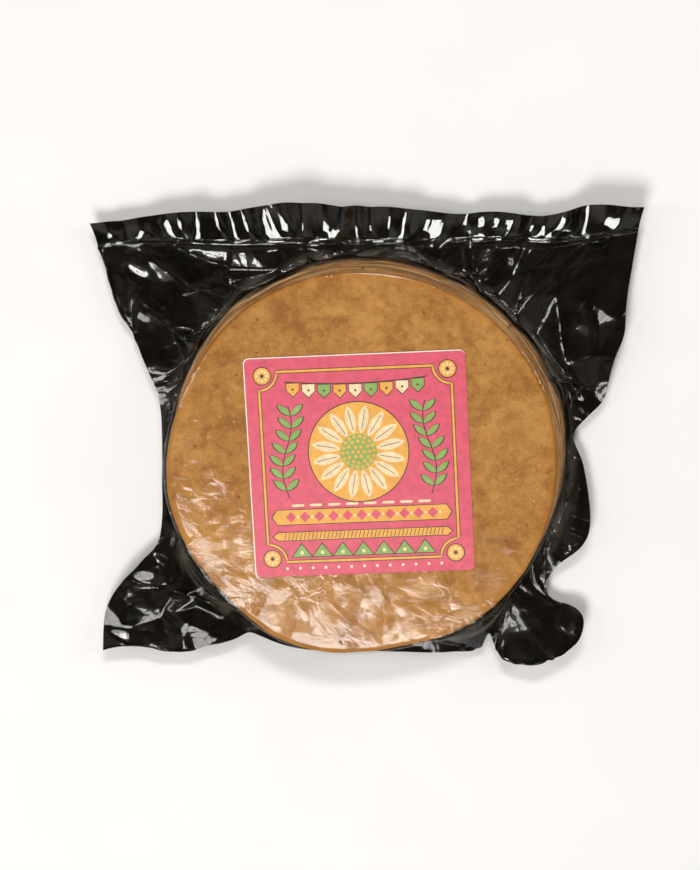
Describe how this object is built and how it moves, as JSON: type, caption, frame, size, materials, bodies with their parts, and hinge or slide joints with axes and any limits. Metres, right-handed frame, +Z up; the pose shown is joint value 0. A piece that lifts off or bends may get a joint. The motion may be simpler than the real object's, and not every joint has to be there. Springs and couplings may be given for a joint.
{
  "type": "vacuum-packed corn tortilla stack",
  "caption": "Stack of round corn tortillas vacuum-sealed in a pouch with a black back, a clear front and a square pink label; lies flat on its back.",
  "frame": {"origin": "centre of the pack's outline, on the surface that it lies on", "axes": "+X along the top seal towards the right corner, +Y towards the top seal, +Z up out of the clear front"},
  "size_m": [0.2128, 0.1822, 0.0226],
  "materials": {
    "black_film": "glossy black pouch film with sharp creases",
    "clear_film": "clear glossy vacuum film with fine wrinkles",
    "tortilla": "tan corn dough with browned mottles under clinging clear film",
    "label_paper": null
  },
  "bodies": {
    "root": {"back_film": "black_film", "filled_pouch": "tortilla", "label": "label_paper"}
  },
  "joints": []
}
